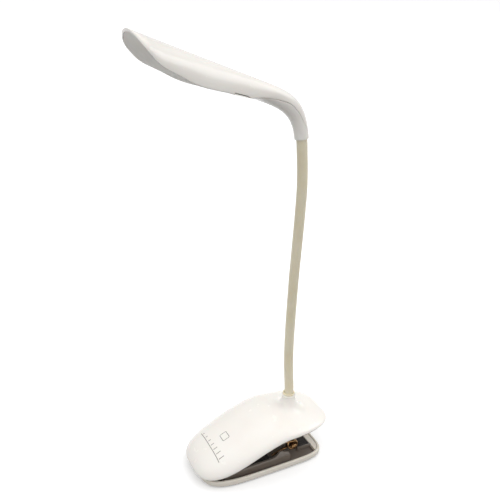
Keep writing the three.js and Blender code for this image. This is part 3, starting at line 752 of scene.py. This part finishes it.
def buildShadeMat(name, long, wide, middleY, node):
    bm = bmesh.new()
    low = tray["floor"] + 0.3
    block(bm, (wide, long, shadeMats["thick"]), (0, middleY, low + shadeMats["thick"] / 2), 0.25)
    ribs = int((wide - 2) / shadeMats["pitch"])
    for k in range(ribs + 1):
        x = (k - ribs / 2) * shadeMats["pitch"]
        block(bm, (shadeMats["rib"], long - 1.4, 2 * shadeMats["ribTall"]), (x, middleY, low + shadeMats["thick"]),
              0.15)
    fasten(makePiece(name, bm, rubberDarkAndPaintedShade, 50), "lower_clip", "dark_rubber", node)


buildShadeMat("ribbed_mat_front_painted_shade", 42.4, 40, -16.6, "tray_mat_front")
buildShadeMat("ribbed_mat_rear_painted_shade", 10.8, 29.4, 37.5, "tray_mat_rear")


# gooseneck: one sleeve piece across each bending joint, meeting at the middle of each link

neck = {"radius": 3.75, "bore": 2.85, "rows": 26, "columns": 48, "seat": 50.7,
        "collar": (12.0, 19.94, 264.35), "blend": 8, "endBlend": 4.5}
bendJoints = [j for j in frame["joints"] if j["name"] != "jaw_squeeze"]
bendJoints.sort(key=lambda j: j["pos_m"][2])


def neckPoints():
    joints = [Vector(j["pos_m"]) / mm for j in bendJoints]
    root = Vector((joints[0].x, joints[0].y, neck["seat"]))
    return [root] + joints + [Vector(neck["collar"])]


def neckAt(points, spot):
    # spot counts joints: 1 is the first joint, 1.5 is halfway to the second
    return splineAt(points, spot / (len(points) - 1))


def buildSleeve():
    points = neckPoints()
    count = len(bendJoints)
    rows = neck["rows"]
    nodes = ["root", *range(1, count), "tip"]
    for i, joint in enumerate(bendJoints):
        fromSpot = i + 0.5 if i else 0
        toSpot = i + 1.5 if i < count - 1 else count + 1

        def pointAt(u, v):
            # up the outside, then down the bore and back to the first ring
            row = round(v * (2 * rows + 2)) % (2 * rows + 2)
            outside = row <= rows
            step = row if outside else 2 * rows + 1 - row
            spot = fromSpot + (toSpot - fromSpot) * step / rows
            centre = neckAt(points, spot)
            along = (neckAt(points, spot + 0.02) - neckAt(points, spot - 0.02)).normalized()
            across = (Vector((1, 0, 0)) - along * along.x).normalized()
            third = along.cross(across)
            radius = neck["radius"] if outside else neck["bore"]
            angle = 2 * math.pi * u
            return centre + (across * math.cos(angle) + third * math.sin(angle)) * radius

        bm = shapedGrid(neck["columns"], 2 * rows + 2, pointAt)
        piece = makePiece(f"sleeve_bend_{i + 1}", bm, sleeveCream, 50)
        stands = [f"gooseneck_sleeve_{nodes[i]}"]
        if i == count - 1:
            stands.append("gooseneck_sleeve_tip")
        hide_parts(*stands)
        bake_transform(piece)


buildSleeve()


ring = {"inner": 3.95, "outer": 5.0, "low": 50.55, "high": 51.9}


def buildSealRing():
    middle = (ring["inner"] + ring["outer"]) / 2
    half = (ring["outer"] - ring["inner"]) / 2
    tall = (ring["high"] - ring["low"]) / 2

    def pointAt(u, v):
        angle, swing = 2 * math.pi * u, 2 * math.pi * v
        radius = middle + half * squared(math.cos(swing), 3)
        z = (ring["low"] + ring["high"]) / 2 + tall * squared(math.sin(swing), 3)
        return radius * math.cos(angle), dome["axisY"] + radius * math.sin(angle), z

    piece = makePiece("neck_ring", shapedGrid(64, 24, pointAt), sleeveCream, 60)
    fasten(piece, "upper_clip", "cream_sleeve", "neck_seal_ring")


buildSealRing()
print("gooseneck done")


# head: sections along a straight ridge, then round a bend to the collar

head = {"x": 12.0, "ridgeY": -11.3, "ridgeZ": 302.6, "tilt": 18.9, "length": 89.78, "half": 22.27,
        "widest": 79.4, "collarY": 19.9, "collarZ": 264.6, "collarRadius": 4.9,
        "tubeRadius": 6.1, "plateEnd": 21.0, "collarGrip": 22.5, "ridgeGrip": 20.4}
# where the seam runs under the neck, degrees, and its climb to the leaf's edge
seam = {"under": 19.5, "climb": 23.2, "climbEnd": 12, "gap": 1.0}
rimLine = [(0, 12.2, 0), (20, 14.2, 0), (44, 16.6, 0), (60, 15.0, 0), (71, 13.45, 0),
           (79, 9.8, 0), (85, 5.5, 0), (head["length"], 0.3, 0)]
planLine = [(0, 8, 0), (10, 9.7, 0), (20, 11.6, 0), (30, 13.4, 0), (40, 15.1, 0), (50, 17.1, 0),
            (60, 19.4, 0), (70, 21.4, 0), (head["widest"], head["half"], 0)]
rimTable = [splineAt(rimLine, k / 400) for k in range(401)]
planTable = [splineAt(planLine, k / 400) for k in range(401)]
tilt = math.radians(head["tilt"])
ridgeUp = Vector((0, math.sin(tilt), math.cos(tilt)))
ridgeAlong = Vector((0, -math.cos(tilt), math.sin(tilt)))


def underRidge(along, depth):
    start = Vector((head["x"], head["ridgeY"], head["ridgeZ"]))
    return start + ridgeAlong * along - ridgeUp * depth


def readTable(table, along):
    if along <= table[0].x:
        return table[0].y
    for a, b in zip(table, table[1:]):
        if b.x >= along:
            return a.y + (b.y - a.y) * (along - a.x) / max(b.x - a.x, 1e-9)
    return table[-1].y


def headHalfWidth(along, inset=0.0):
    if along < head["widest"]:
        return readTable(planTable, along) - inset
    nose = head["length"] - head["widest"] - inset
    share = min(1, (along - head["widest"]) / nose)
    return (head["half"] - inset) * math.sqrt(1 - share * share)


def rimDepth(along):
    return readTable(rimTable, along)


bendStart = Vector((head["x"], head["collarY"], head["collarZ"]))
bendEnd = underRidge(0, head["tubeRadius"])
collarUp = Vector((0, -0.145, 0.989))  # the neck's direction where it enters the collar
bendGrips = [bendStart, bendStart + collarUp * head["collarGrip"],
             bendEnd - ridgeAlong * head["ridgeGrip"], bendEnd]


def bendPoint(t):
    a, b, c, d = bendGrips
    return a * (1 - t) ** 3 + b * 3 * t * (1 - t) ** 2 + c * 3 * t * t * (1 - t) + d * t ** 3


def sectionAt(spot, wall=0.0):
    # middle, up, half width, rise and fall; spot is -1 to 0 on the neck, then millimetres
    if spot >= 0:
        depth = rimDepth(spot)
        belly = head["tubeRadius"] * (1 - smoothStep((spot + 14) / 26))
        return (underRidge(spot, depth - belly), ridgeUp, headHalfWidth(spot, wall),
                max(depth - belly - wall, 0), belly - wall)
    t = 1 + spot
    middle = bendPoint(t)
    along = (bendPoint(t + 0.01) - bendPoint(t - 0.01)).normalized()
    up = Vector((0, along.z, -along.y))
    back = (middle - bendEnd).dot(ridgeAlong)
    radius = (head["collarRadius"]
              + (head["tubeRadius"] - head["collarRadius"]) * smoothStep(t / 0.6))
    # the half width leaves the tube's radius and meets the leaf's with the leaf's own slope
    w = min(1, max(0, 1 + back / 27))
    half = (radius * (2 * w ** 3 - 3 * w * w + 1) + headHalfWidth(0) * (3 * w * w - 2 * w ** 3)
            + 5.3 * (w ** 3 - w * w))
    shift = head["tubeRadius"] * smoothStep((back + 14) / 26)
    return middle - up * shift, up, half - wall, radius + shift - wall, radius - shift - wall


def seamLift(spot):
    # degrees from the section's side up to the seam between the covers
    if spot < -0.98:
        return 89.4
    if spot < 0:
        t = 1 + spot
        return 88 * math.exp(-10 * t) - seam["under"] * smoothStep((t - 0.5) / 0.4)
    if spot < head["plateEnd"]:
        return -seam["under"] + seam["climb"] * smoothStep(spot / seam["climbEnd"])
    return 0.0


def skinPoint(spot, degrees, wall=0.0):
    middle, up, half, rise, fall = sectionAt(spot, wall)
    angle = math.radians(degrees)
    height = rise if math.sin(angle) >= 0 else fall
    return (middle + Vector((1, 0, 0)) * half * math.cos(angle) + up * height * math.sin(angle))


def innerSpot(spot, wall):
    # the inside of the nose ends one wall short of the tip
    if spot < head["widest"]:
        return spot
    nose = head["length"] - head["widest"]
    return head["widest"] + (spot - head["widest"]) * (nose - wall) / nose


def buildCover(name, spots, arcAt, wall, round, node):
    # one closed wall: an outside arc, a rounded lip, the inside arc and the other lip
    steps = 64
    rows = len(spots) - 1

    def pointAt(u, v):
        spot = spots[int(v * rows + 0.5)]
        near, far = arcAt(spot)
        k = int(u * (2 * steps + 4) + 0.5) % (2 * steps + 4)
        lean = math.degrees(round / max(sectionAt(spot)[2], 1.5))
        if k <= steps:
            share = k / steps
            return skinPoint(spot, near + lean + (far - near - 2 * lean) * share)
        if k == steps + 1:
            return skinPoint(spot, far, min(round, wall / 2))
        if k == 2 * steps + 3:
            return skinPoint(spot, near, min(round, wall / 2))
        share = (k - steps - 2) / steps
        return skinPoint(innerSpot(spot, wall), far + (near - far) * share, wall)

    bm = shapedGrid(2 * steps + 4, rows, pointAt)
    ends = [e for e in bm.edges if e.is_boundary]
    bmesh.ops.holes_fill(bm, edges=ends, sides=0)
    bmesh.ops.recalc_face_normals(bm, faces=bm.faces)
    piece = makePiece(name, bm, shellWhite, 35)
    fasten(piece, "head", "white_abs", node)


def buildHeadCovers():
    bend = [-1 + 0.98 * (k / 44) for k in range(45)]
    # rows close up towards the tip, and the seam's step lies between two close rows
    before, after = head["plateEnd"] - 0.2, head["plateEnd"] + 0.2
    leaf = [before * k / 24 for k in range(25)] + [after]
    leaf += [after + (head["length"] - after) * math.sin(math.pi / 2 * k / 96)
             for k in range(1, 97)]

    def topArc(spot):
        lift = seamLift(spot) + seam["gap"]
        return lift, 180 - lift

    def underArc(spot):
        return 180 - seamLift(spot) + seam["gap"], 360 + seamLift(spot) - seam["gap"]

    buildCover("head_top_skin", [-0.975] + bend[2:] + leaf, topArc, 1.1, 0.3, "head_top_cover")
    buildCover("head_bottom_skin", [-1, -0.985, -0.975] + bend[2:] + leaf[:25], underArc, 0.9,
               0.25, "head_bottom_cover")


lens = {"inset": 1.3, "sink": 0.15, "thick": 1.4, "from": 21.3, "round": 0.3}


def buildLens():
    # a closed slab whose outline keeps inside the rim
    rows, columns = 80, 40
    last = head["length"] - lens["inset"]

    def pointAt(u, v):
        spot = lens["from"] + (last - lens["from"]) * math.sin(math.pi / 2 * v)
        half = headHalfWidth(spot, lens["inset"])
        k = int(u * (2 * columns + 2) + 0.5) % (2 * columns + 2)
        low = k <= columns
        across = 1 - 2 * k / columns if low else 2 * (k - columns - 1) / columns - 1
        edge = min(1, (1 - abs(across)) * half / lens["round"])
        depth = rimDepth(spot) - lens["sink"]
        lift = 0 if low else lens["thick"]
        shy = lens["round"] * (1 - math.sqrt(1 - (1 - edge) ** 2)) if low else 0
        return underRidge(spot, depth - lift - shy) + Vector((half * across, 0, 0))

    bm = shapedGrid(2 * columns + 2, rows, pointAt)
    bmesh.ops.holes_fill(bm, edges=[e for e in bm.edges if e.is_boundary], sides=0)
    bmesh.ops.recalc_face_normals(bm, faces=bm.faces)
    piece = makePiece("lens_sheet", bm, lensFrost, 50)
    fasten(piece, "head", "frosted_lens", "lens_diffuser")


buildHeadCovers()
buildLens()
print("head done")


# CAD nodes that stay as they are, in better materials

# the upper cover takes the lid grey, which is painted shade
kept = {
    "upper_cover": lidGreyPaintedShade, "lower_jaw_pad": rubberDarkAndPaintedShade, "upper_jaw_pad": rubberDarkAndPaintedShade,
    "battery_cell": foilGrey, "control_board": boardGreen, "usb_socket": steelBright,
    "touch_electrode": brassTurned, "cover_screw_near": steelBright,
    "cover_screw_far": steelBright, "neck_nut": brassTurned, "head_ferrule": brassTurned,
    "led_board": boardGreen, "board_screw_1": steelBright, "board_screw_2": steelBright,
}
for node in frame["nodes"]:
    if node.startswith("led_") and node != "led_board":
        kept[node] = ledYellow
    if node.startswith("gooseneck_hose_"):
        kept[node] = steelBright


def dressNodes():
    for node, material in kept.items():
        for slotEntry in bpy.data.objects[node].material_slots:
            slotEntry.material = material


dressNodes()
print("kept nodes dressed")


# plain white stage: a pale sweep of paper, a bright sky and a dimmer bounce from below

stage = {"reach": 14.0, "wall": 9.0, "curve": 3.0, "glow": 0.22, "bounce": 0.2, "side": 0.45,
         "top": 1.3}


def buildSweep():
    # a round floor that curves up into a wall, turned about the upright axis
    line = [(0, 0), (stage["reach"] - stage["curve"], 0)]
    for k in range(1, 17):
        angle = math.pi / 2 * k / 16
        line.append((stage["reach"] - stage["curve"] * (1 - math.sin(angle)),
                     stage["curve"] * (1 - math.cos(angle))))
    line.append((stage["reach"], stage["wall"]))
    bm = bmesh.new()
    verts = [bm.verts.new((0, r, z)) for r, z in line]
    edges = [bm.edges.new(pair) for pair in zip(verts, verts[1:])]
    bmesh.ops.spin(bm, geom=verts + edges, cent=(0, 0, 0), axis=(0, 0, 1), angle=2 * math.pi,
                   steps=96, use_merge=True)
    bmesh.ops.remove_doubles(bm, verts=bm.verts, dist=mm)
    sweep = makePiece("paper_sweep", bm, sweepPaper(), 60)
    # the sky below the floor is what lights the object from underneath
    sweep.visible_diffuse = False
    sweep.visible_shadow = False


def sweepPaper():
    # matt seamless paper with a little light of its own, so that it photographs white
    material, tree, principled, place = startMaterial("matt seamless paper", Roughness=0.9)
    grain = surfaceNoise(tree, place, 3, 2)
    tree.links.new(colourRange(tree, grain, "#F6F6F6", "#FAFAFA"), principled.inputs["Base Color"])
    principled.inputs["Emission Color"].default_value = linear("#FFFFFF")
    principled.inputs["Emission Strength"].default_value = stage["glow"]
    return material


def buildSky():
    world = bpy.data.worlds.new("studio")
    bpy.context.scene.world = world
    world.use_nodes = True
    tree = world.node_tree
    place = addNode(tree, "ShaderNodeTexCoord").outputs["Generated"]
    height = addNode(tree, "ShaderNodeSeparateXYZ", None, Vector=place).outputs["Z"]
    share = addNode(tree, "ShaderNodeMapRange", None, Value=height, From_Min=-1.0, From_Max=1.0)
    ramp = addNode(tree, "ShaderNodeValToRGB", None, Fac=share.outputs["Result"])
    stops = ramp.color_ramp.elements
    levels = ((0.0, stage["bounce"]), (0.47, stage["bounce"]), (0.53, stage["side"]),
              (1.0, stage["top"]))
    for spot, level in levels[1:-1]:
        stops.new(spot)
    for stop, (spot, level) in zip(stops, levels):
        stop.position = spot
        stop.color = (level, level, level, 1)
    tree.links.new(ramp.outputs["Color"], tree.nodes["Background"].inputs["Color"])


def addSoftbox(name, place, target, size, power):
    data = bpy.data.lights.new(name, 'AREA')
    data.shape = 'RECTANGLE'
    data.size, data.size_y = size
    data.energy = power
    lamp = bpy.data.objects.new(name, data)
    away = Vector(place) - Vector(target)
    lamp.matrix_world = (Matrix.Translation(place)
                         @ away.to_track_quat('Z', 'Y').to_matrix().to_4x4())
    bpy.context.collection.objects.link(lamp)


buildSweep()
buildSky()
addSoftbox("back_softbox", (0.35, 1.1, 1.15), (0, 0, 0.25), (1.2, 0.5), 3.5)
addSoftbox("fill_softbox", (1.1, -1.1, 0.5), (0, 0, 0.2), (1.4, 1.0), 3)
bpy.context.scene.view_settings.view_transform = 'Standard'
print("stage done")
